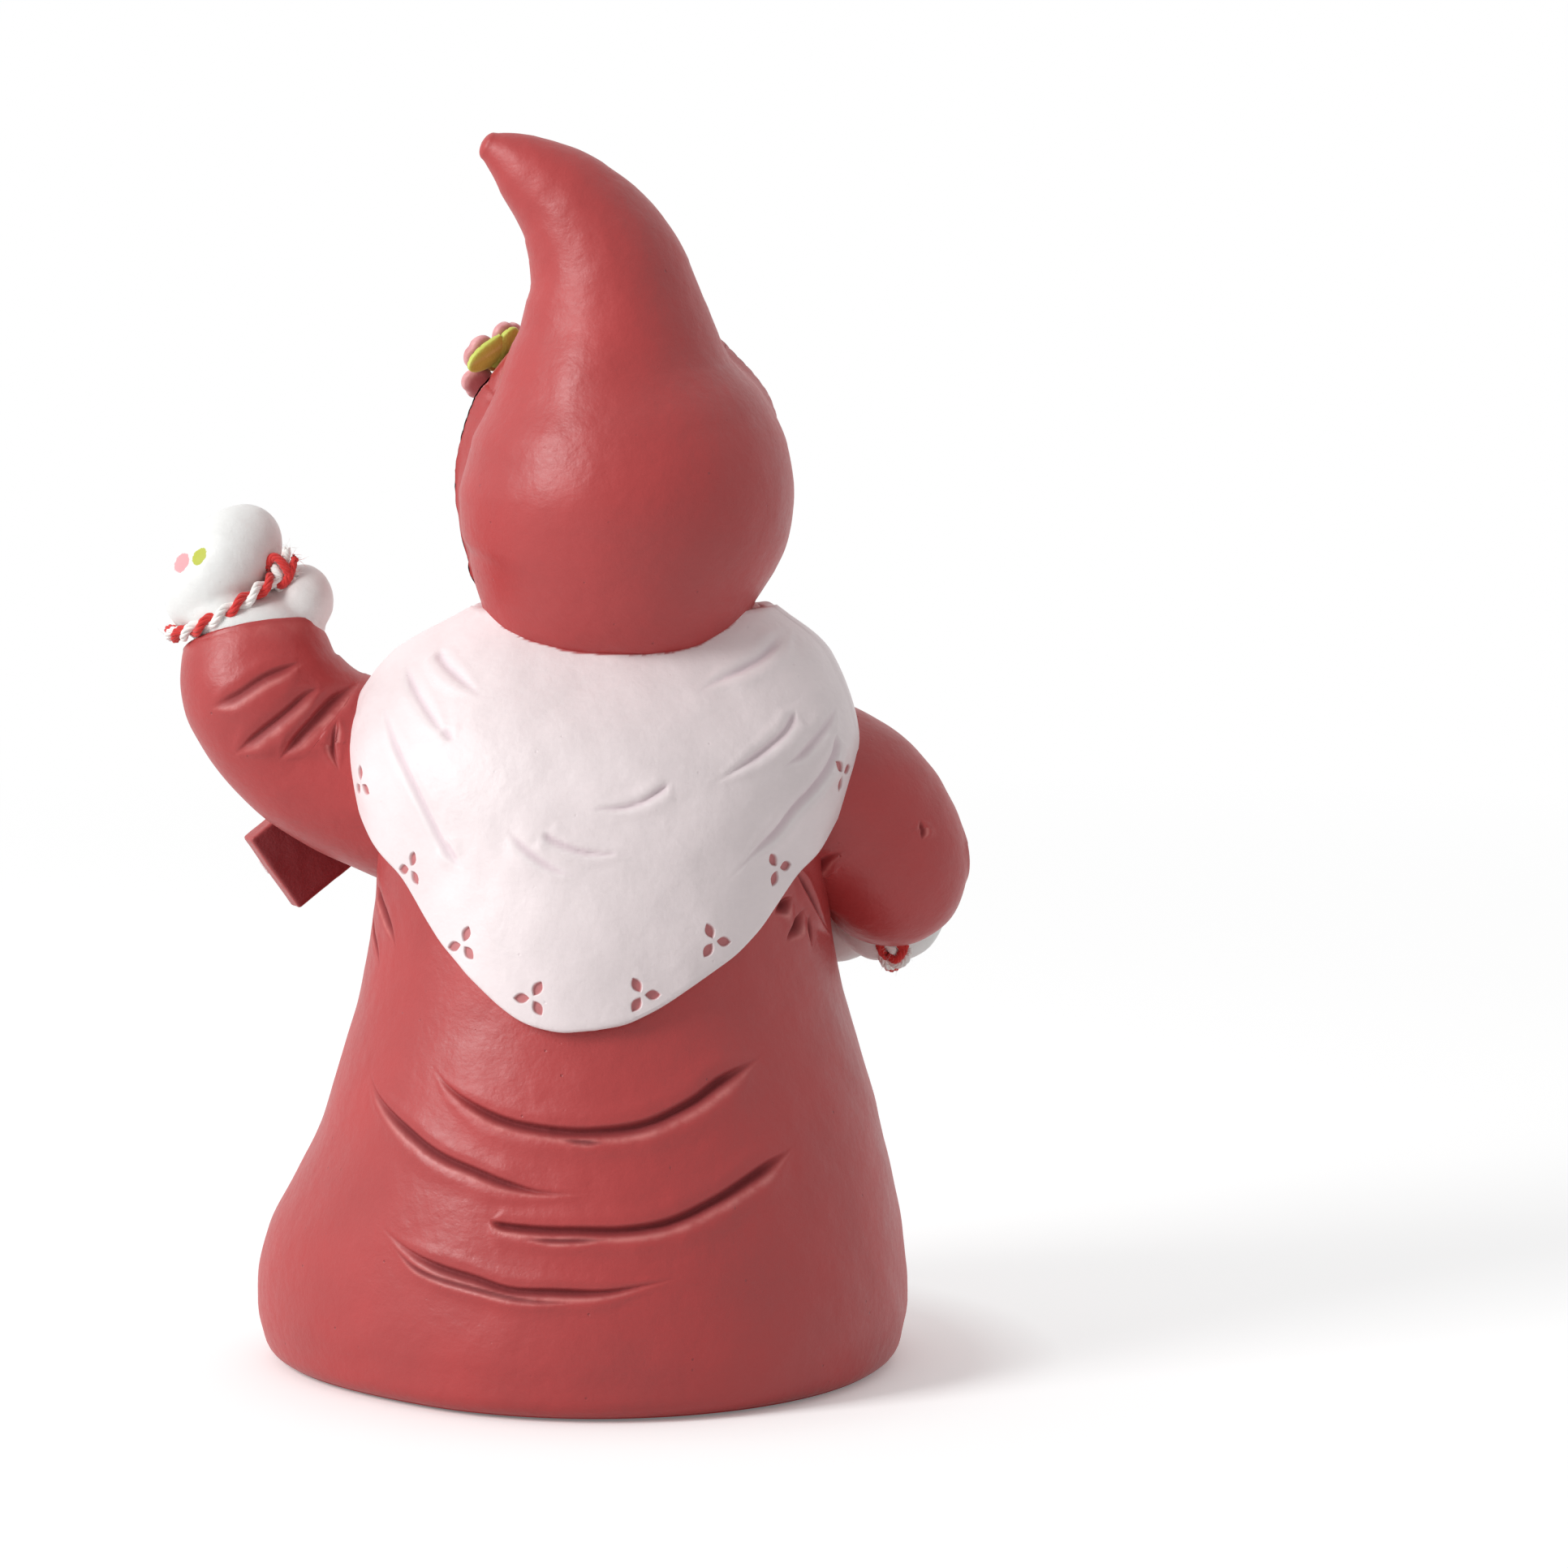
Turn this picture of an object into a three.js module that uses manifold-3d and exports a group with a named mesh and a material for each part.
// A tomte figure of painted cast resin: a bell-shaped robe with a shawl over the shoulders, a hooded
// head with a bent point, one arm raised in a wave and the other bent to the belly, and a flat parcel
// held between the raised arm and the robe. Each casting is a solid of its own, glued to its neighbour.
// Millimetres, +Z up. The figure faces -Y. The origin is the middle of the felt foot, on the floor.

import * as THREE from "three";
import { mergeVertices } from "three/addons/utils/BufferGeometryUtils.js";
import Module from "manifold-3d";

const wasm = await Module();
wasm.setup();

// Glue gap left between any two castings.
const CLEARANCE = 0.3;

// Felt foot in the mouth of the robe, and the plate above it that closes the hollow.
const FELT_THICKNESS = 1.2;
const FELT_PROUD = 0.4;
const BASE_PLATE_THICKNESS = 3;

// Robe: height above the floor, middle, half width and half depth of each level, from hem to neck.
const SKIRT = { z: 9, x: 0.6, halfWidth: 49.5, halfDepth: 51 };
const SHIN = { z: 24, x: 0.6, halfWidth: 48, halfDepth: 48.6 };
const KNEE = { z: 41, x: 0.7, halfWidth: 44.4, halfDepth: 44 };
const HIP = { z: 62, x: 0.7, halfWidth: 39, halfDepth: 38 };
const WAIST = { z: 82, x: 0.5, halfWidth: 36.6, halfDepth: 33.5 };
const SHOULDER = { z: 102, x: 0.3, halfWidth: 38.9, halfDepth: 27.5 };
const COLLAR = { z: 116, x: -1.3, halfWidth: 32.3, halfDepth: 16 };
const NECK = { z: 123.5, x: -3.2, halfWidth: 21.5, halfDepth: 9.5 };
const NECK_DOME_RISE = 3;
const HEM_ROUND = 3.2;
const ROBE_WALL = 5;
const ROBE_HOLLOW_TOP = 98;

// The hem swings out on the figure's left, as if a foot pushed it.
const FLARE = { out: 6.6, fullBelow: 14, top: 44, angle: -10, spread: 64 };

// Shawl: a shell over the shoulders. Its edge is lowest at the back and climbs over each arm.
const SHAWL_THICKNESS = 3.1;
const SHAWL_EDGE_THICKNESS = 2.4;
const SHAWL_BACK_POINT = 60.7;
const SHAWL_SIDE_EDGE = 104;
const SHAWL_FRONT_POINT = 91;

// The shawl is cut higher just right of its back point.
const SHAWL_LIFT = { height: 2.8, angle: 109, spread: 30 };

// Hood: a shell whose middle line runs up from the neck and bends over at the point.
const HOOD_NAPE = { x: 1, z: 114, radius: 11.6 };
const HOOD_JAW = { x: 0.6, z: 119, radius: 18.6 };
const HOOD_CHEEK = { x: -2.2, z: 129, radius: 24.3 };
const HOOD_WIDEST = { x: -3.7, z: 142, radius: 27 };
const HOOD_BROW = { x: -3, z: 153, radius: 24.3 };
const HOOD_TEMPLE = { x: -2.2, z: 161, radius: 19.2 };
const HOOD_CROWN = { x: -1.7, z: 170, radius: 15.3 };
const HOOD_BEND = { x: 0.1, z: 179, radius: 12.5 };
const HOOD_LEAN = { x: 5.4, z: 187.8, radius: 9.3 };
const HOOD_POINT_ROOT = { x: 12.8, z: 194.2, radius: 5.8 };
const HOOD_POINT = { x: 18.4, z: 197.6, radius: 2.6 };

// Rolled brim round the face.
const BRIM = { x: -3.2, y: -14.5, z: 141.6, halfWidth: 22.8, halfHeight: 26.4 };
const BRIM_ROLL = 4.4;

// Head inside the hood, placed from the middle of the brim, with its nose.
const HEAD_BEHIND_BRIM = 6.5;
const HEAD_BELOW_BRIM = 2;
const HEAD_RADII = { x: 20.4, y: 19.2, z: 21.6 };
const NOSE_RADIUS = 3.9;
const NOSE_DROP = 2.5;
const HAIR_THICKNESS = 2.4;
const HAIR_LINE_ABOVE_HEAD = 9.5;

// Five-petalled flower on the left side of the brim, and its leaves. Turns are seen from its face.
const FLOWER_AT = 41;
const FLOWER_FACES = { x: 0.6, y: -0.7, z: 0.4 };
const FLOWER_OUTWARD = { x: 0.58, y: 0.72, z: 0.385 };
const FLOWER_STANDOFF = 1.9;
const PETAL_COUNT = 5;
const PETAL_LENGTH = 5.4;
const PETAL_WIDTH = 5.2;
const PETAL_THICKNESS = 2.2;
const PETAL_REACH = 4.6;
const PETAL_CUP = 10;
const FLOWER_CENTRE_RADIUS = 2;
const LEAF_LENGTH = 7.6;
const LEAF_WIDTH = 5;
const LEAF_THICKNESS = 1.4;
const LEAF_TURNS = { flower_leaf_lower: -8, flower_leaf_upper: 50 };

// Left arm, raised: the middle line of the sleeve from inside the shoulder to the cuff.
const LEFT_ROOT = { x: 18, y: -4, z: 90, radius: 15.4 };
const LEFT_SHOULDER = { x: 33, y: -6, z: 94, radius: 16.4 };
const LEFT_ELBOW = { x: 47.4, y: -6.5, z: 102.2, radius: 15.2 };
const LEFT_FOREARM = { x: 54.7, y: -6.2, z: 110.4, radius: 13.9 };
const LEFT_CUFF = { x: 56.9, y: -5.6, z: 118, radius: 11.9 };

// Right arm, bent: shoulder, elbow, and a short forearm that comes forward to the belly.
const RIGHT_ROOT = { x: -17, y: -3, z: 93.5, radius: 13.5 };
const RIGHT_SHOULDER = { x: -32, y: -4.5, z: 93.5, radius: 15 };
const RIGHT_UPPER_ARM = { x: -41.3, y: -5, z: 88, radius: 14.7 };
const RIGHT_ELBOW = { x: -46.4, y: -6.5, z: 80, radius: 13 };
const RIGHT_CUFF = { x: -46, y: -11.5, z: 74, radius: 10.4 };

// Mittens: hand, wrist and thumb, each an egg placed from the cuff that it comes out of.
const MITTEN_WRIST_RADII = { x: 11.6, y: 9.4, z: 6.4 };
const LEFT_WRIST = { x: 0.4, y: 0.4, z: 2.4 };
const LEFT_HAND = { x: 4.6, y: -0.6, z: 11 };
const LEFT_HAND_RADII = { x: 7.9, y: 8.2, z: 11.8 };
const LEFT_HAND_LEAN = -36;
const LEFT_THUMB = { x: -7.6, y: 0.5, z: 6.4 };
const LEFT_THUMB_RADII = { x: 5, y: 5.4, z: 6.2 };
const RIGHT_WRIST = { x: -0.3, y: -2.6, z: -2.6 };
const RIGHT_WRIST_RADII = { x: 9.4, y: 8.4, z: 8.2 };
const RIGHT_HAND = { x: 10, y: -13.5, z: -4.6 };
const RIGHT_HAND_RADII = { x: 11.2, y: 6.6, z: 8 };
const RIGHT_HAND_TURN = -34;
const RIGHT_THUMB = { x: 8, y: -14.5, z: 3.4 };
const RIGHT_THUMB_RADII = { x: 4.6, y: 4.4, z: 5 };

// Twisted cord tied round each wrist.
const CORD_RADIUS = 1.3;
const LEFT_CORD = { x: 4.4, y: -0.4, z: 6, halfLong: 10.6, halfWide: 8.8, rise: 31 };
const RIGHT_CORD = { x: -1, y: -3.7, z: -2.6, halfLong: 8.6, halfWide: 8.6, turn: -12 };
const LEFT_CORD_TILT = 8;
const KNOT_RADII = { x: 2, y: 2.1, z: 2.9 };
const KNOT_AT = 18;
const CORD_TAIL_LENGTH = 3.4;

// Flat parcel: thickness, short side and long side, and the corner of its back face that shows.
const PARCEL = { thickness: 3.8, side: 14.7, length: 33 };
const PARCEL_CORNER = { x: 58.2, y: -8.4, z: 84.1 };
const PARCEL_EDGE_RADIUS = 0.5;
const PARCEL_TURN = 25;
const PARCEL_TILT = 35;
const RIBBON = { width: 2.8, thickness: 0.7, at: 0.45 };
const BOW_LOOP_LENGTH = 5.2;

// Dowels that line up the head and the arms.
const DOWEL_RADIUS = 2.5;
const DOWEL_LENGTH = 18;
const NECK_DOWEL_LENGTH = 24;

const RED = new THREE.MeshStandardMaterial({ color: 0xb5494b, roughness: 0.5, metalness: 0 });
const SHAWL_PINK = new THREE.MeshStandardMaterial({ color: 0xf1e3e5, roughness: 0.6, metalness: 0 });
const WHITE = new THREE.MeshStandardMaterial({ color: 0xe9e6e3, roughness: 0.6, metalness: 0 });
const WINE = new THREE.MeshStandardMaterial({ color: 0x9d4144, roughness: 0.5, metalness: 0 });
const SKIN = new THREE.MeshStandardMaterial({ color: 0xe9b99d, roughness: 0.55, metalness: 0 });
const HAIR = new THREE.MeshStandardMaterial({ color: 0xe8dcc6, roughness: 0.6, metalness: 0 });
const PETAL_PINK = new THREE.MeshStandardMaterial({ color: 0xd98b90, roughness: 0.55, metalness: 0 });
const LEAF_GREEN = new THREE.MeshStandardMaterial({ color: 0xb9c465, roughness: 0.55, metalness: 0 });
const YELLOW = new THREE.MeshStandardMaterial({ color: 0xe3c35a, roughness: 0.55, metalness: 0 });
const COTTON = new THREE.MeshStandardMaterial({ color: 0xd8393b, roughness: 0.9, metalness: 0 });
const FELT = new THREE.MeshStandardMaterial({ color: 0x6d3a3b, roughness: 0.95, metalness: 0 });
const RESIN = new THREE.MeshStandardMaterial({ color: 0xd9d2c6, roughness: 0.7, metalness: 0 });
const BEECH = new THREE.MeshStandardMaterial({ color: 0xc9a374, roughness: 0.7, metalness: 0 });

const vector = (p) => new THREE.Vector3(p.x, p.y ?? 0, p.z);
const moved = (base, step) => vector(base).add(vector(step));
const radians = THREE.MathUtils.degToRad;

// A closed solid from a geometry, with the seams of the geometry welded.
function solid(geometry) {
  const bare = geometry.clone();
  bare.deleteAttribute("normal");
  bare.deleteAttribute("uv");
  const welded = mergeVertices(bare, 1e-4);
  const vertProperties = welded.attributes.position.array;
  const triVerts = new Uint32Array(welded.index.array);
  return new wasm.Manifold(new wasm.Mesh({ numProp: 3, vertProperties, triVerts }));
}

// The geometry of a solid.
function geometryOf(made) {
  const mesh = made.getMesh();
  const geometry = new THREE.BufferGeometry();
  geometry.setAttribute("position", new THREE.BufferAttribute(mesh.vertProperties, 3));
  geometry.setIndex(new THREE.BufferAttribute(mesh.triVerts, 1));
  geometry.computeVertexNormals();
  return geometry;
}

// The base less every tool. Where a tool leaves a loose crumb, only the casting itself is kept.
function cut(base, ...tools) {
  const rest = tools.reduce((left, tool) => left.subtract(tool), base);
  const bodies = rest.decompose();
  return bodies.reduce((most, body) => (body.volume() > most.volume() ? body : most));
}

function joined(...solids) {
  return solids.reduce((whole, part) => whole.add(part));
}

// A skin over rings of points that all turn the same way. Its ends are capped, or it closes on itself.
function skin(rings, closesOnItself = false) {
  const count = rings[0].length;
  const points = rings.flat();
  const faces = [];
  const strips = closesOnItself ? rings.length : rings.length - 1;
  for (let r = 0; r < strips; r++) {
    const here = r * count;
    const next = ((r + 1) % rings.length) * count;
    for (let i = 0; i < count; i++) {
      const j = (i + 1) % count;
      faces.push(here + i, here + j, next + j, here + i, next + j, next + i);
    }
  }
  if (!closesOnItself) {
    const last = (rings.length - 1) * count;
    const start = points.push(middle(rings[0])) - 1;
    const end = points.push(middle(rings[rings.length - 1])) - 1;
    for (let i = 0; i < count; i++) {
      const j = (i + 1) % count;
      faces.push(start, j, i, end, last + i, last + j);
    }
  }
  const geometry = new THREE.BufferGeometry().setFromPoints(points);
  geometry.setIndex(faces);
  return solid(geometry);
}

function middle(ring) {
  const sum = new THREE.Vector3();
  ring.forEach((point) => sum.add(point));
  return sum.divideScalar(ring.length);
}

// A smooth curve through [place, value] pairs, level beyond its ends.
function smooth(pairs) {
  const slope = (i) => {
    const before = pairs[Math.max(i - 1, 0)];
    const after = pairs[Math.min(i + 1, pairs.length - 1)];
    return (after[1] - before[1]) / (after[0] - before[0]);
  };
  return (place) => {
    const last = pairs.length - 1;
    if (place <= pairs[0][0]) return pairs[0][1];
    if (place >= pairs[last][0]) return pairs[last][1];
    const i = pairs.findIndex((pair, k) => k < last && place < pairs[k + 1][0]);
    const span = pairs[i + 1][0] - pairs[i][0];
    const t = (place - pairs[i][0]) / span;
    const rise = t * t * (3 - 2 * t);
    const fromSlopes = t * (1 - t) * ((1 - t) * slope(i) - t * slope(i + 1)) * span;
    return pairs[i][1] + (pairs[i + 1][1] - pairs[i][1]) * rise + fromSlopes;
  };
}

// A round limb along a smooth line through stations, each with its radius. Both ends are domed.
function limb(stations, { sides = 24, steps = 14, dome = 0.35, grow = 0 }) {
  const path = new THREE.CatmullRomCurve3(stations.map(vector), false, "centripetal");
  const reach = [0];
  for (let i = 1; i < stations.length; i++) {
    reach.push(reach[i - 1] + vector(stations[i]).distanceTo(vector(stations[i - 1])));
  }
  const whole = reach[reach.length - 1];
  const radiusAt = smooth(stations.map((station, i) => [reach[i] / whole, station.radius]));
  const frames = path.computeFrenetFrames(steps, false);
  const ring = (k, shift, share) => {
    const centre = path.getPointAt(k / steps).addScaledVector(frames.tangents[k], shift);
    const radius = (radiusAt(k / steps) + grow) * share;
    return Array.from({ length: sides }, (unused, i) => {
      const angle = (2 * Math.PI * i) / sides;
      const point = centre.clone().addScaledVector(frames.normals[k], radius * Math.cos(angle));
      return point.addScaledVector(frames.binormals[k], radius * Math.sin(angle));
    });
  };
  const domeAngles = [radians(75), radians(50), radians(25)];
  const domeRise = (k, angle) => (radiusAt(k / steps) * dome + grow) * Math.sin(angle);
  const rings = domeAngles.map((angle) => ring(0, -domeRise(0, angle), Math.cos(angle)));
  for (let k = 0; k <= steps; k++) rings.push(ring(k, 0, 1));
  domeAngles.reverse().forEach((angle) => {
    rings.push(ring(steps, domeRise(steps, angle), Math.cos(angle)));
  });
  return skin(rings);
}

// An egg: a sphere with three radii, turned about an axis.
function egg(centre, radii, grow = 0, axis = "y", degrees = 0, across = 18) {
  const ball = new THREE.SphereGeometry(1, across, Math.round(across * 0.65));
  ball.rotateX(Math.PI / 2);
  ball.scale(radii.x + grow, radii.y + grow, radii.z + grow);
  const turn = radians(degrees);
  if (axis === "y") ball.rotateY(turn);
  else ball.rotateZ(turn);
  ball.translate(centre.x, centre.y, centre.z);
  return solid(ball);
}

// A round bar bent into an oval that closes on itself. Long and wide are the oval's two directions.
function hoop(centre, long, wide, halfLong, halfWide, radius, { sides = 8, steps = 20, grow = 0 }) {
  const axis = new THREE.Vector3().crossVectors(long, wide);
  const rings = Array.from({ length: steps }, (unused, k) => {
    const angle = (2 * Math.PI * k) / steps;
    const spot = centre.clone().addScaledVector(long, halfLong * Math.cos(angle));
    spot.addScaledVector(wide, halfWide * Math.sin(angle));
    const out = long.clone().multiplyScalar(halfWide * Math.cos(angle));
    out.addScaledVector(wide, halfLong * Math.sin(angle)).normalize();
    return Array.from({ length: sides }, (none, i) => {
      const around = (-2 * Math.PI * (i + 0.5)) / sides;
      const point = spot.clone().addScaledVector(out, (radius + grow) * Math.cos(around));
      return point.addScaledVector(axis, (radius + grow) * Math.sin(around));
    });
  });
  return skin(rings, true);
}

// A round bar from one point to another.
function bar(from, to, radius, grow = 0) {
  const along = to.clone().sub(from);
  const rod = new THREE.CylinderGeometry(radius + grow, radius + grow, along.length() + 2 * grow, 16);
  rod.applyQuaternion(upTo(along));
  const centre = from.clone().add(to).multiplyScalar(0.5);
  rod.translate(centre.x, centre.y, centre.z);
  return solid(rod);
}

// The turn that brings +Y to a direction.
function upTo(direction) {
  const up = new THREE.Vector3(0, 1, 0);
  return new THREE.Quaternion().setFromUnitVectors(up, direction.clone().normalize());
}

// Body: robe, base plate, felt and shawl.

const HEM_HEIGHT = FELT_PROUD;
const PLATE_HEIGHT = FELT_THICKNESS + CLEARANCE;
const LEVELS = [SKIRT, SHIN, KNEE, HIP, WAIST, SHOULDER, COLLAR, NECK];
const middleAt = smooth(LEVELS.map((level) => [level.z, level.x]));
const halfWidthAt = smooth(LEVELS.map((level) => [level.z, level.halfWidth]));
const halfDepthAt = smooth(LEVELS.map((level) => [level.z, level.halfDepth]));
const BODY_SIDES = 40;

// How far the flare pushes the robe out at a height and an angle.
function flareAt(z, angle) {
  const rise = THREE.MathUtils.clamp((z - FLARE.fullBelow) / (FLARE.top - FLARE.fullBelow), 0, 1);
  const turned = THREE.MathUtils.euclideanModulo(angle - radians(FLARE.angle) + Math.PI, 2 * Math.PI);
  const off = Math.min(Math.abs(turned - Math.PI) / radians(FLARE.spread), 1);
  return FLARE.out * (Math.cos((rise * Math.PI) / 2) * Math.cos((off * Math.PI) / 2)) ** 2;
}

// The robe's surface, pushed out by grow.
function robePoint(angle, z, grow) {
  const out = grow + flareAt(z, angle);
  const x = middleAt(z) + (halfWidthAt(z) + out) * Math.cos(angle);
  const y = (halfDepthAt(z) + out) * Math.sin(angle);
  return new THREE.Vector3(x, y, z);
}

function robeRing(z, grow, sides = BODY_SIDES) {
  return Array.from({ length: sides }, (unused, i) => robePoint((2 * Math.PI * i) / sides, z, grow));
}

const ROBE_ROWS = 15;

function ringShrunk(ring, share, z) {
  return ring.map((p) => new THREE.Vector3(NECK.x + (p.x - NECK.x) * share, p.y * share, z));
}

// The whole robe as one closed form, from the hem to a dome over the neck.
function robeForm(grow = 0) {
  const bottom = HEM_HEIGHT - grow;
  const rings = [15, 45, 70].map((degrees) => {
    const tilt = radians(degrees);
    return robeRing(bottom + HEM_ROUND * (1 - Math.cos(tilt)), grow - HEM_ROUND * (1 - Math.sin(tilt)));
  });
  for (let k = 0; k <= ROBE_ROWS; k++) {
    const z = bottom + HEM_ROUND + ((NECK.z - bottom - HEM_ROUND) * k) / ROBE_ROWS;
    rings.push(robeRing(z, grow));
  }
  const neck = rings[rings.length - 1];
  const rise = NECK_DOME_RISE + grow;
  [35, 65].forEach((degrees) => {
    const tilt = radians(degrees);
    rings.push(ringShrunk(neck, Math.cos(tilt), NECK.z + rise * Math.sin(tilt)));
  });
  return skin(rings);
}

// The hollow inside the robe, open at the hem.
function robeHollow(grow = 0) {
  const rows = 5;
  const bottom = HEM_HEIGHT - ROBE_WALL;
  const rings = [];
  for (let k = 0; k <= rows; k++) {
    const z = bottom + ((ROBE_HOLLOW_TOP - bottom) * k) / rows;
    rings.push(robeRing(z, grow - ROBE_WALL, 28));
  }
  return skin(rings);
}

// Height of the shawl's edge at an angle. The angle is 90 degrees at the back and -90 at the front.
const shawlEdgeByTurn = smooth([
  [-90, SHAWL_FRONT_POINT],
  [-62, SHAWL_FRONT_POINT + 5],
  [-35, SHAWL_SIDE_EDGE - 2],
  [-12, SHAWL_SIDE_EDGE + 4],
  [0, SHAWL_SIDE_EDGE],
  [8, SHAWL_SIDE_EDGE - 8],
  [20, SHAWL_BACK_POINT + 27.8],
  [36, SHAWL_BACK_POINT + 22.3],
  [50, SHAWL_BACK_POINT + 13.8],
  [70, SHAWL_BACK_POINT + 3.4],
  [81, SHAWL_BACK_POINT + 0.5],
  [90, SHAWL_BACK_POINT],
]);

function shawlEdge(angle) {
  const degrees = (Math.asin(Math.sin(angle)) * 180) / Math.PI;
  const off = Math.min(Math.abs(angle - radians(SHAWL_LIFT.angle)) / radians(SHAWL_LIFT.spread), 1);
  return shawlEdgeByTurn(degrees) + SHAWL_LIFT.height * Math.cos((off * Math.PI) / 2) ** 2;
}

// The shawl as a shell from its inner face to its outer face. Deep sinks the inner face into the robe.
function shawlForm({ grow = 0, deep = 0 }) {
  const rows = 7;
  const top = NECK.z + grow;
  const inner = CLEARANCE - deep;
  const row = (share, out, lower) => {
    return Array.from({ length: BODY_SIDES }, (unused, i) => {
      const angle = (2 * Math.PI * i) / BODY_SIDES;
      const edge = shawlEdge(angle) - grow;
      return robePoint(angle, top - (top - edge) * share - lower, out);
    });
  };
  const thinned = (share) => THREE.MathUtils.lerp(SHAWL_THICKNESS, SHAWL_EDGE_THICKNESS, share ** 4);
  const rings = [];
  for (let k = 0; k <= rows; k++) rings.push(row(k / rows, inner, 0));
  rings.push(row(1, (inner + SHAWL_EDGE_THICKNESS) / 2 + grow, SHAWL_EDGE_THICKNESS * 0.3));
  for (let k = rows; k >= 0; k--) rings.push(row(k / rows, thinned(k / rows) + grow, 0));
  return skin(rings, true);
}

const body = new THREE.Group();
const HEAD = { x: BRIM.x, y: BRIM.y + HEAD_BEHIND_BRIM, z: BRIM.z - HEAD_BELOW_BRIM };
const neckFoot = new THREE.Vector3(HEAD.x, 0, NECK.z + CLEARANCE - NECK_DOWEL_LENGTH / 2);
const neckTop = neckFoot.clone().setZ(neckFoot.z + NECK_DOWEL_LENGTH);
const armDowel = (shoulder, side) => {
  const start = new THREE.Vector3(shoulder.x - (side * DOWEL_LENGTH) / 3, shoulder.y, shoulder.z);
  return [start, start.clone().setX(start.x + side * DOWEL_LENGTH)];
};
const [leftDowelStart, leftDowelEnd] = armDowel(LEFT_SHOULDER, 1);
const [rightDowelStart, rightDowelEnd] = armDowel(RIGHT_SHOULDER, -1);

function piece(name, shape, material, parent) {
  const geometry = shape.isBufferGeometry ? shape : geometryOf(shape);
  const mesh = new THREE.Mesh(geometry, material);
  mesh.name = name;
  parent.add(mesh);
  return mesh;
}

const neckBore = bar(neckFoot, neckTop, DOWEL_RADIUS, CLEARANCE);
const leftBore = bar(leftDowelStart, leftDowelEnd, DOWEL_RADIUS, CLEARANCE);
const rightBore = bar(rightDowelStart, rightDowelEnd, DOWEL_RADIUS, CLEARANCE);
piece("neck_dowel", bar(neckFoot, neckTop, DOWEL_RADIUS), BEECH, body);

const robe = cut(robeForm(), robeHollow(), neckBore, leftBore, rightBore);
piece("robe", robe, RED, body);

// The base plate and the felt fill the mouth of the hollow. The felt stands a little proud of the hem.
function slabInMouth(lower, thickness) {
  const across = 3 * SKIRT.halfWidth;
  const layer = new THREE.BoxGeometry(across, across, thickness);
  layer.translate(0, 0, lower + thickness / 2);
  return robeHollow(-CLEARANCE).intersect(solid(layer));
}
piece("base_plate", slabInMouth(PLATE_HEIGHT, BASE_PLATE_THICKNESS), RESIN, body);
piece("felt_pad", slabInMouth(0, FELT_THICKNESS), FELT, body);

const robeCutter = robeForm(CLEARANCE);
piece("shawl", cut(shawlForm({ deep: 1.5 }), robeCutter), SHAWL_PINK, body);

const shawlCutter = shawlForm({ grow: CLEARANCE, deep: 2 });
const neckAndShawlCutter = robeForm(SHAWL_THICKNESS + CLEARANCE);

// Head: face, hair, hood, brim and flower.

const headGroup = new THREE.Group();
const HOOD_LINE = [
  HOOD_NAPE,
  HOOD_JAW,
  HOOD_CHEEK,
  HOOD_WIDEST,
  HOOD_BROW,
  HOOD_TEMPLE,
  HOOD_CROWN,
  HOOD_BEND,
  HOOD_LEAN,
  HOOD_POINT_ROOT,
  HOOD_POINT,
];

function hoodForm(grow = 0) {
  return limb(HOOD_LINE, { sides: 24, steps: 18, dome: 0.3, grow });
}

function brimForm(grow = 0) {
  const across = new THREE.Vector3(1, 0, 0);
  const up = new THREE.Vector3(0, 0, 1);
  const shape = { sides: 8, steps: 30, grow };
  return hoop(vector(BRIM), across, up, BRIM.halfWidth, BRIM.halfHeight, BRIM_ROLL, shape);
}

function headForm(grow = 0) {
  const nose = { x: HEAD.x, y: HEAD.y - HEAD_RADII.y - NOSE_RADIUS * 0.2, z: HEAD.z - NOSE_DROP };
  const noseRadii = { x: NOSE_RADIUS, y: NOSE_RADIUS, z: NOSE_RADIUS };
  const face = egg(HEAD, HEAD_RADII, grow, "y", 0, 20);
  return joined(face, egg(nose, noseRadii, grow, "y", 0, 12));
}

// The mouth of the hood in front of the brim's middle line, wide enough for the face.
function faceOpening() {
  const halfWidth = BRIM.halfWidth - BRIM_ROLL;
  const halfHeight = BRIM.halfHeight - BRIM_ROLL;
  const prism = new THREE.CylinderGeometry(1, 1, 1, 24);
  prism.scale(halfWidth, HEAD_RADII.y * 2, halfHeight);
  prism.translate(BRIM.x, BRIM.y - HEAD_RADII.y, BRIM.z);
  return solid(prism);
}

const head = cut(headForm(), neckAndShawlCutter, neckBore);
piece("head", head, SKIN, headGroup);

const brim = cut(brimForm(), neckAndShawlCutter, headForm(CLEARANCE));
piece("hood_brim", brim, RED, headGroup);

const hoodTools = [headForm(CLEARANCE), faceOpening(), brimForm(CLEARANCE), neckAndShawlCutter, neckBore];
const hood = cut(hoodForm(), ...hoodTools);
piece("hood", hood, RED, headGroup);

// Hair: a fringe that lies on the forehead, above the hair line and inside the brim.
function hairForm() {
  const cap = egg(HEAD, HEAD_RADII, HAIR_THICKNESS, "y", 0, 20);
  const front = new THREE.BoxGeometry(4 * HEAD_RADII.x, HEAD_RADII.y, 2 * HEAD_RADII.z);
  front.translate(HEAD.x, BRIM.y - HEAD_RADII.y / 2, HEAD.z + HAIR_LINE_ABOVE_HEAD + HEAD_RADII.z);
  return cap.intersect(solid(front));
}
const hair = cut(hairForm(), headForm(CLEARANCE), hoodForm(CLEARANCE), brimForm(CLEARANCE));
piece("hair", hair, HAIR, headGroup);

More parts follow.
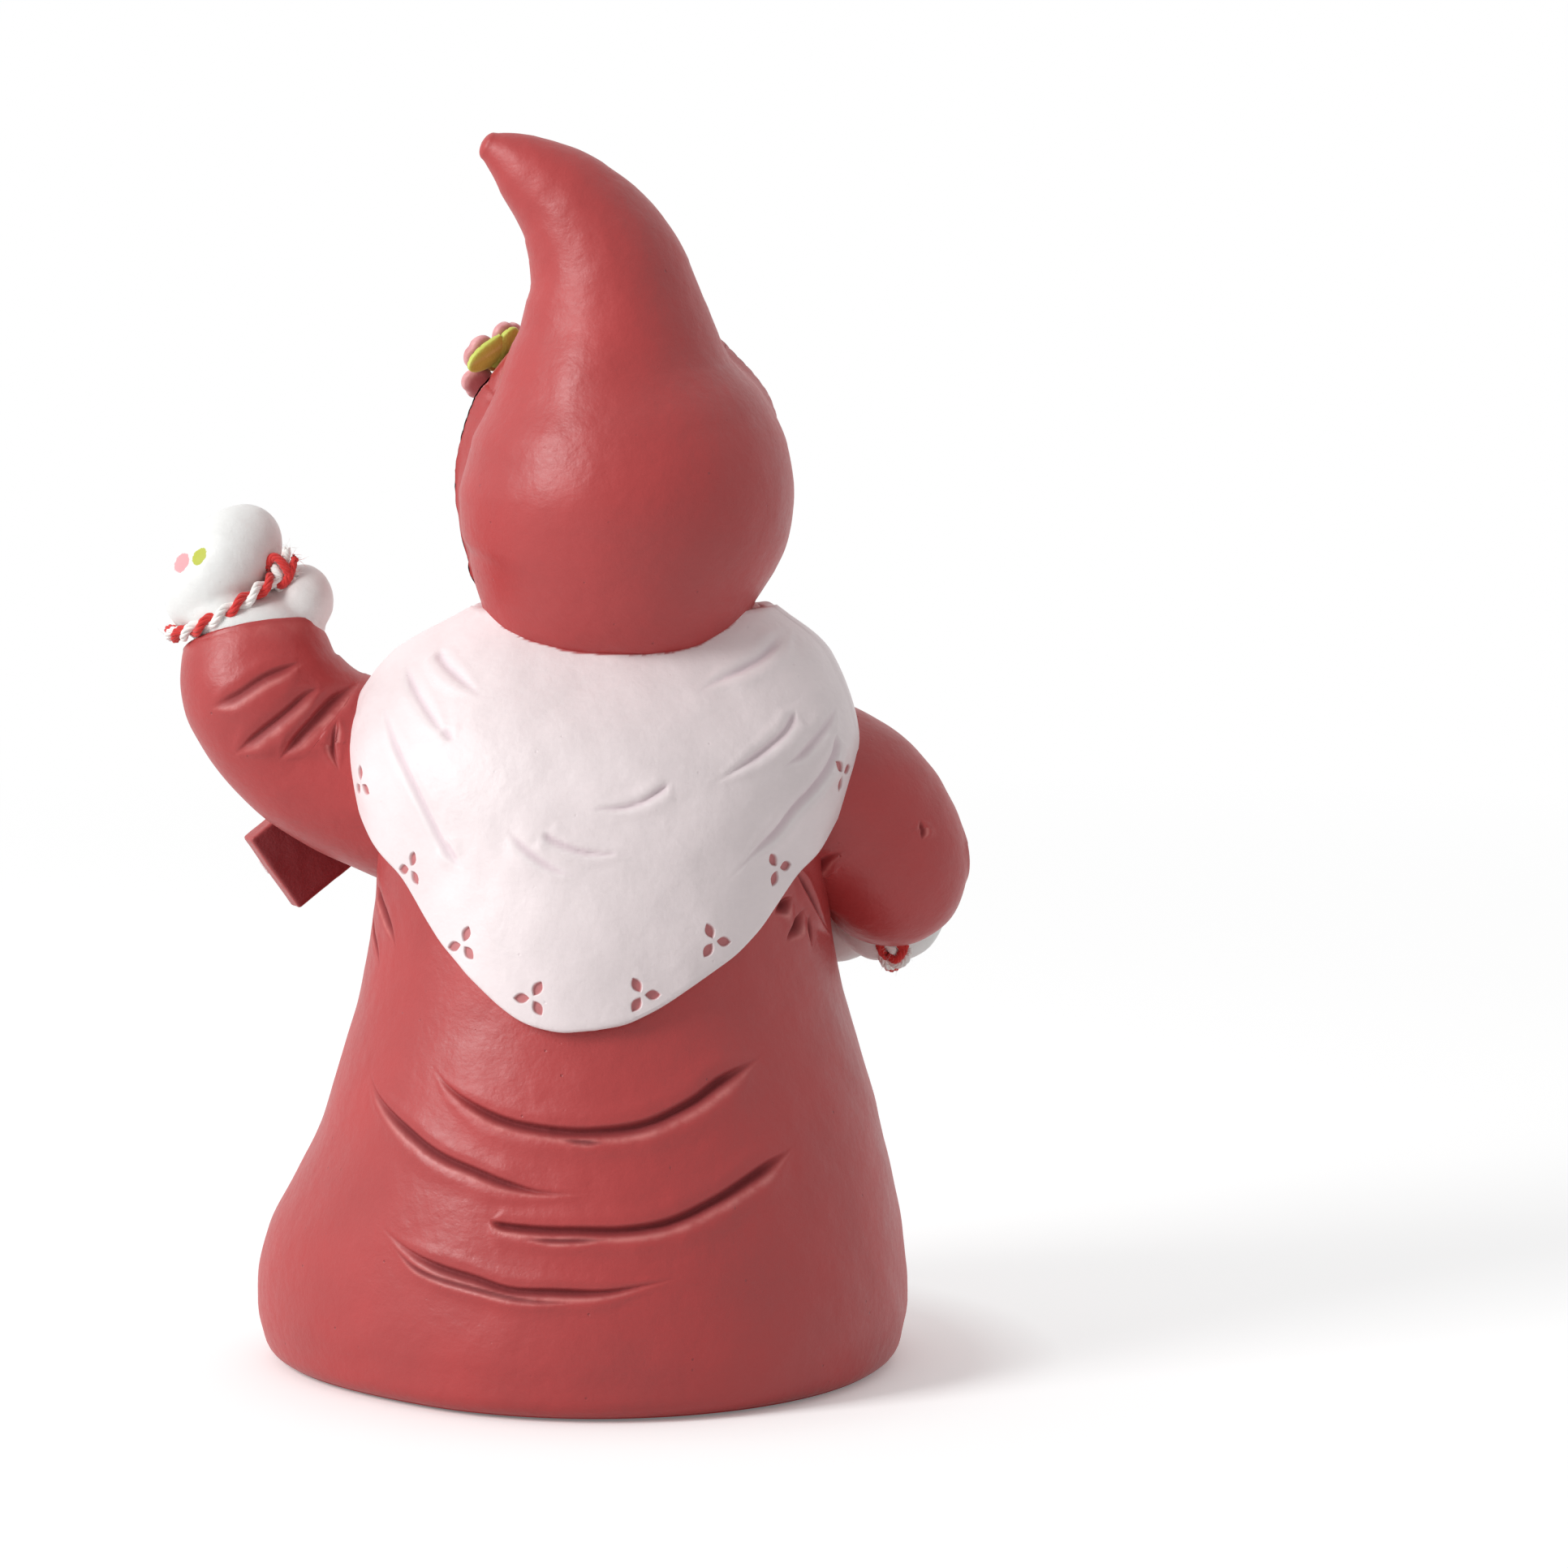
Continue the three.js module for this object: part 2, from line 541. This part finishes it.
// Flower: petals round a domed centre, built facing +Y with the first petal along +Z, then placed on
// the brim.
const flowerFaces = vector(FLOWER_FACES).normalize();
const flowerAcross = new THREE.Vector3().crossVectors(flowerFaces, vector(FLOWER_OUTWARD)).normalize();
const flowerOutward = new THREE.Vector3().crossVectors(flowerAcross, flowerFaces);
const FLOWER = vector(BRIM).addScaledVector(flowerFaces, BRIM_ROLL + FLOWER_STANDOFF);
FLOWER.x += BRIM.halfWidth * Math.cos(radians(FLOWER_AT));
FLOWER.z += BRIM.halfHeight * Math.sin(radians(FLOWER_AT));
const flowerPlace = new THREE.Matrix4().makeBasis(flowerAcross, flowerFaces, flowerOutward);
flowerPlace.setPosition(FLOWER);

function placed(geometry, offset = new THREE.Vector3(), turn = 0) {
  geometry.rotateY(turn);
  geometry.translate(offset.x, offset.y, offset.z);
  return geometry.applyMatrix4(flowerPlace);
}

function petal(index, grow = 0) {
  const ball = new THREE.SphereGeometry(1, 8, 6);
  const half = { x: PETAL_WIDTH / 2, y: PETAL_THICKNESS / 2, z: PETAL_LENGTH / 2 };
  ball.scale(half.x + grow, half.y + grow, half.z + grow);
  ball.rotateX(radians(-PETAL_CUP));
  ball.translate(0, 0, PETAL_REACH);
  return solid(placed(ball, undefined, (2 * Math.PI * index) / PETAL_COUNT));
}

function rosette(grow = 0) {
  const petals = Array.from({ length: PETAL_COUNT }, (unused, i) => petal(i, grow));
  const disc = new THREE.CylinderGeometry(1, 1, PETAL_THICKNESS + 2 * grow, 10);
  disc.scale(PETAL_REACH * 0.8 + grow, 1, PETAL_REACH * 0.8 + grow);
  return joined(solid(placed(disc)), ...petals);
}

function flowerCentre(grow = 0) {
  const dome = new THREE.SphereGeometry(FLOWER_CENTRE_RADIUS + grow, 10, 6);
  dome.scale(1, 0.6, 1);
  return solid(placed(dome, new THREE.Vector3(0, PETAL_THICKNESS * 0.5, 0)));
}

// A pointed leaf that lies behind the flower, from its middle out along one direction.
function leaf(degrees, grow = 0) {
  const half = LEAF_WIDTH / 2 + grow;
  const outline = new THREE.Shape();
  outline.moveTo(0, -grow);
  outline.quadraticCurveTo(half * 2, LEAF_LENGTH / 2, 0, LEAF_LENGTH + grow);
  outline.quadraticCurveTo(-half * 2, LEAF_LENGTH / 2, 0, -grow);
  const depth = LEAF_THICKNESS + 2 * grow;
  const blade = new THREE.ExtrudeGeometry(outline, { depth, bevelEnabled: false, curveSegments: 5 });
  blade.translate(0, 0, PETAL_THICKNESS / 2 + CLEARANCE - grow);
  blade.rotateX(Math.PI / 2);
  return solid(placed(blade, undefined, radians(degrees)));
}

const leaves = Object.values(LEAF_TURNS).map((degrees) => leaf(degrees, CLEARANCE));
const flowerTools = [flowerCentre(CLEARANCE), hoodForm(CLEARANCE), brimForm(CLEARANCE)];
piece("flower", cut(rosette(), ...flowerTools, ...leaves), PETAL_PINK, headGroup);
piece("flower_centre", cut(flowerCentre(), brimForm(CLEARANCE)), YELLOW, headGroup);
let earlierLeaves = [];
Object.entries(LEAF_TURNS).forEach(([name, degrees]) => {
  const blade = cut(leaf(degrees), hoodForm(CLEARANCE), brimForm(CLEARANCE), ...earlierLeaves);
  piece(name, blade, LEAF_GREEN, headGroup);
  earlierLeaves = [...earlierLeaves, leaf(degrees, CLEARANCE)];
});

// Parcel: a flat wrapped box with a ribbon along its front and a bow.

const parcelGroup = new THREE.Group();
parcelGroup.position.copy(vector(PARCEL_CORNER));
const parcelFrame = new THREE.Matrix4();
{
  const across = new THREE.Vector3(-Math.cos(radians(PARCEL_TURN)), -Math.sin(radians(PARCEL_TURN)), 0);
  const up = new THREE.Vector3(0, 0, 1);
  const long = across.clone().multiplyScalar(Math.cos(radians(PARCEL_TILT)));
  long.addScaledVector(up, Math.sin(radians(PARCEL_TILT)));
  const short = across.clone().multiplyScalar(Math.sin(radians(PARCEL_TILT)));
  short.addScaledVector(up, -Math.cos(radians(PARCEL_TILT)));
  const front = new THREE.Vector3().crossVectors(long, short);
  parcelFrame.makeBasis(long, short, front);
}
parcelGroup.quaternion.setFromRotationMatrix(parcelFrame);

// In the parcel's own frame the back face's corner is the origin, X runs along it and Z to the front.
function parcelBox(grow = 0) {
  const inset = PARCEL_EDGE_RADIUS - grow;
  const outline = new THREE.Shape();
  outline.moveTo(inset, inset);
  outline.lineTo(PARCEL.length - inset, inset);
  outline.lineTo(PARCEL.length - inset, PARCEL.side - inset);
  outline.lineTo(inset, PARCEL.side - inset);
  const box = new THREE.ExtrudeGeometry(outline, {
    depth: PARCEL.thickness - 2 * inset,
    bevelThickness: PARCEL_EDGE_RADIUS,
    bevelSize: PARCEL_EDGE_RADIUS,
    bevelSegments: 2,
  });
  return box.translate(0, 0, inset);
}

function inParcelPlace(geometry) {
  parcelGroup.updateMatrix();
  return solid(geometry.clone().applyMatrix4(parcelGroup.matrix));
}

piece("parcel", parcelBox(), WINE, parcelGroup);
const ribbonMiddle = PARCEL.side * RIBBON.at;
const ribbonFloor = PARCEL.thickness + CLEARANCE;

function ribbonStrip(grow = 0) {
  const [length, width, thickness] = [PARCEL.length, RIBBON.width, RIBBON.thickness].map((size) => size + 2 * grow);
  const strip = new THREE.BoxGeometry(length, width, thickness);
  return strip.translate(PARCEL.length / 2, ribbonMiddle, ribbonFloor + RIBBON.thickness / 2);
}
piece("parcel_ribbon", ribbonStrip(), SHAWL_PINK, parcelGroup);

const bowFloor = ribbonFloor + RIBBON.thickness + CLEARANCE;
const bowRadii = { x: BOW_LOOP_LENGTH / 2, y: RIBBON.width * 0.7, z: RIBBON.width * 0.45 };
const bowHeight = bowFloor + bowRadii.z * 0.8;
const bowMiddle = { x: PARCEL.length / 2, y: ribbonMiddle, z: bowHeight };
const bowParts = [-1, 1].map((side) => {
  const spot = { ...bowMiddle, x: bowMiddle.x + side * bowRadii.x };
  return egg(spot, bowRadii, 0, "z", side * 14, 10);
});
const bowKnot = egg(bowMiddle, { x: 1.4, y: 1.5, z: 1.5 }, 0, "y", 0, 8);
const belowBow = new THREE.BoxGeometry(PARCEL.length, PARCEL.side, PARCEL.thickness);
belowBow.translate(PARCEL.length / 2, ribbonMiddle, bowFloor - PARCEL.thickness / 2);
piece("parcel_bow", cut(joined(...bowParts, bowKnot), solid(belowBow)), SHAWL_PINK, parcelGroup);
const parcelCutter = joined(inParcelPlace(parcelBox(CLEARANCE)), inParcelPlace(ribbonStrip(CLEARANCE)));

// Arms: sleeve, mitten, cord and dowel on each side.

function leftMittenForm(grow = 0) {
  const wrist = egg(moved(LEFT_CUFF, LEFT_WRIST), MITTEN_WRIST_RADII, grow, "y", -10, 14);
  const hand = egg(moved(LEFT_CUFF, LEFT_HAND), LEFT_HAND_RADII, grow, "y", LEFT_HAND_LEAN, 16);
  const thumb = egg(moved(LEFT_CUFF, LEFT_THUMB), LEFT_THUMB_RADII, grow, "y", 8, 10);
  return joined(wrist, hand, thumb);
}

function rightMittenForm(grow = 0) {
  const wrist = egg(moved(RIGHT_CUFF, RIGHT_WRIST), RIGHT_WRIST_RADII, grow, "z", RIGHT_HAND_TURN, 14);
  const hand = egg(moved(RIGHT_CUFF, RIGHT_HAND), RIGHT_HAND_RADII, grow, "z", RIGHT_HAND_TURN, 16);
  const thumb = egg(moved(RIGHT_CUFF, RIGHT_THUMB), RIGHT_THUMB_RADII, grow, "z", 0, 10);
  return joined(wrist, hand, thumb);
}

// A cord's loop, with the knot at one end of the oval and two short tails.
function cordForm(cuff, cord, long, wide, grow = 0) {
  const centreOfLoop = moved(cuff, cord);
  const loop = hoop(centreOfLoop, long, wide, cord.halfLong, cord.halfWide, CORD_RADIUS, { grow });
  const knotAngle = radians(KNOT_AT);
  const spot = centreOfLoop.clone().addScaledVector(long, cord.halfLong * Math.cos(knotAngle));
  spot.addScaledVector(wide, cord.halfWide * Math.sin(knotAngle));
  const out = spot.clone().sub(centreOfLoop).normalize();
  spot.addScaledVector(out, CORD_RADIUS);
  const knot = egg(spot, KNOT_RADII, grow, "y", 20, 8);
  const tails = [-1, 1].map((side) => {
    const tip = spot.clone().addScaledVector(out, CORD_TAIL_LENGTH * 0.55);
    tip.addScaledVector(long, CORD_TAIL_LENGTH * 0.35);
    tip.add(new THREE.Vector3(0, 0, (0.62 + side * 0.3) * CORD_TAIL_LENGTH));
    const start = { x: spot.x, y: spot.y, z: spot.z, radius: CORD_RADIUS * 0.7 };
    const end = { x: tip.x, y: tip.y, z: tip.z, radius: CORD_RADIUS * 0.8 };
    return limb([start, end], { sides: 6, steps: 1, dome: 0.4, grow });
  });
  return joined(loop, knot, ...tails);
}

const riseOf = (degrees) => new THREE.Vector3(-Math.cos(radians(degrees)), 0, Math.sin(radians(degrees)));
const leftLong = riseOf(LEFT_CORD.rise);
const leftWide = new THREE.Vector3(0, 1, 0).applyAxisAngle(leftLong, radians(LEFT_CORD_TILT));
const leftCord = (grow) => cordForm(LEFT_CUFF, LEFT_CORD, leftLong, leftWide, grow);
const rightTurn = radians(RIGHT_CORD.turn);
const rightLong = new THREE.Vector3(Math.sin(rightTurn), -Math.cos(rightTurn), 0);
const down = new THREE.Vector3(0, 0, -1);
const rightCord = (grow) => cordForm(RIGHT_CUFF, RIGHT_CORD, rightLong, down, grow);

const leftArm = new THREE.Group();
const leftSleeveForm = limb([LEFT_ROOT, LEFT_SHOULDER, LEFT_ELBOW, LEFT_FOREARM, LEFT_CUFF], {
  sides: 20,
  steps: 11,
  dome: 0.12,
});
const leftTools = [robeCutter, shawlCutter, leftMittenForm(CLEARANCE), leftCord(CLEARANCE)];
piece("left_sleeve", cut(leftSleeveForm, ...leftTools, leftBore, parcelCutter), RED, leftArm);
piece("left_mitten", cut(leftMittenForm(), leftCord(CLEARANCE)), WHITE, leftArm);
piece("left_wrist_cord", leftCord(0), COTTON, leftArm);
piece("left_arm_dowel", bar(leftDowelStart, leftDowelEnd, DOWEL_RADIUS), BEECH, leftArm);

const rightArm = new THREE.Group();
const rightSleeveForm = limb([RIGHT_ROOT, RIGHT_SHOULDER, RIGHT_UPPER_ARM, RIGHT_ELBOW, RIGHT_CUFF], {
  sides: 20,
  steps: 11,
  dome: 0.12,
});
const rightTools = [robeCutter, shawlCutter, rightMittenForm(CLEARANCE), rightCord(CLEARANCE)];
piece("right_sleeve", cut(rightSleeveForm, ...rightTools, rightBore), RED, rightArm);
piece("right_mitten", cut(rightMittenForm(), robeCutter, rightCord(CLEARANCE)), WHITE, rightArm);
piece("right_wrist_cord", cut(rightCord(0), robeCutter), COTTON, rightArm);
piece("right_arm_dowel", bar(rightDowelStart, rightDowelEnd, DOWEL_RADIUS), BEECH, rightArm);

const tomte = new THREE.Group();
tomte.add(body, headGroup, leftArm, rightArm, parcelGroup);

export default tomte;
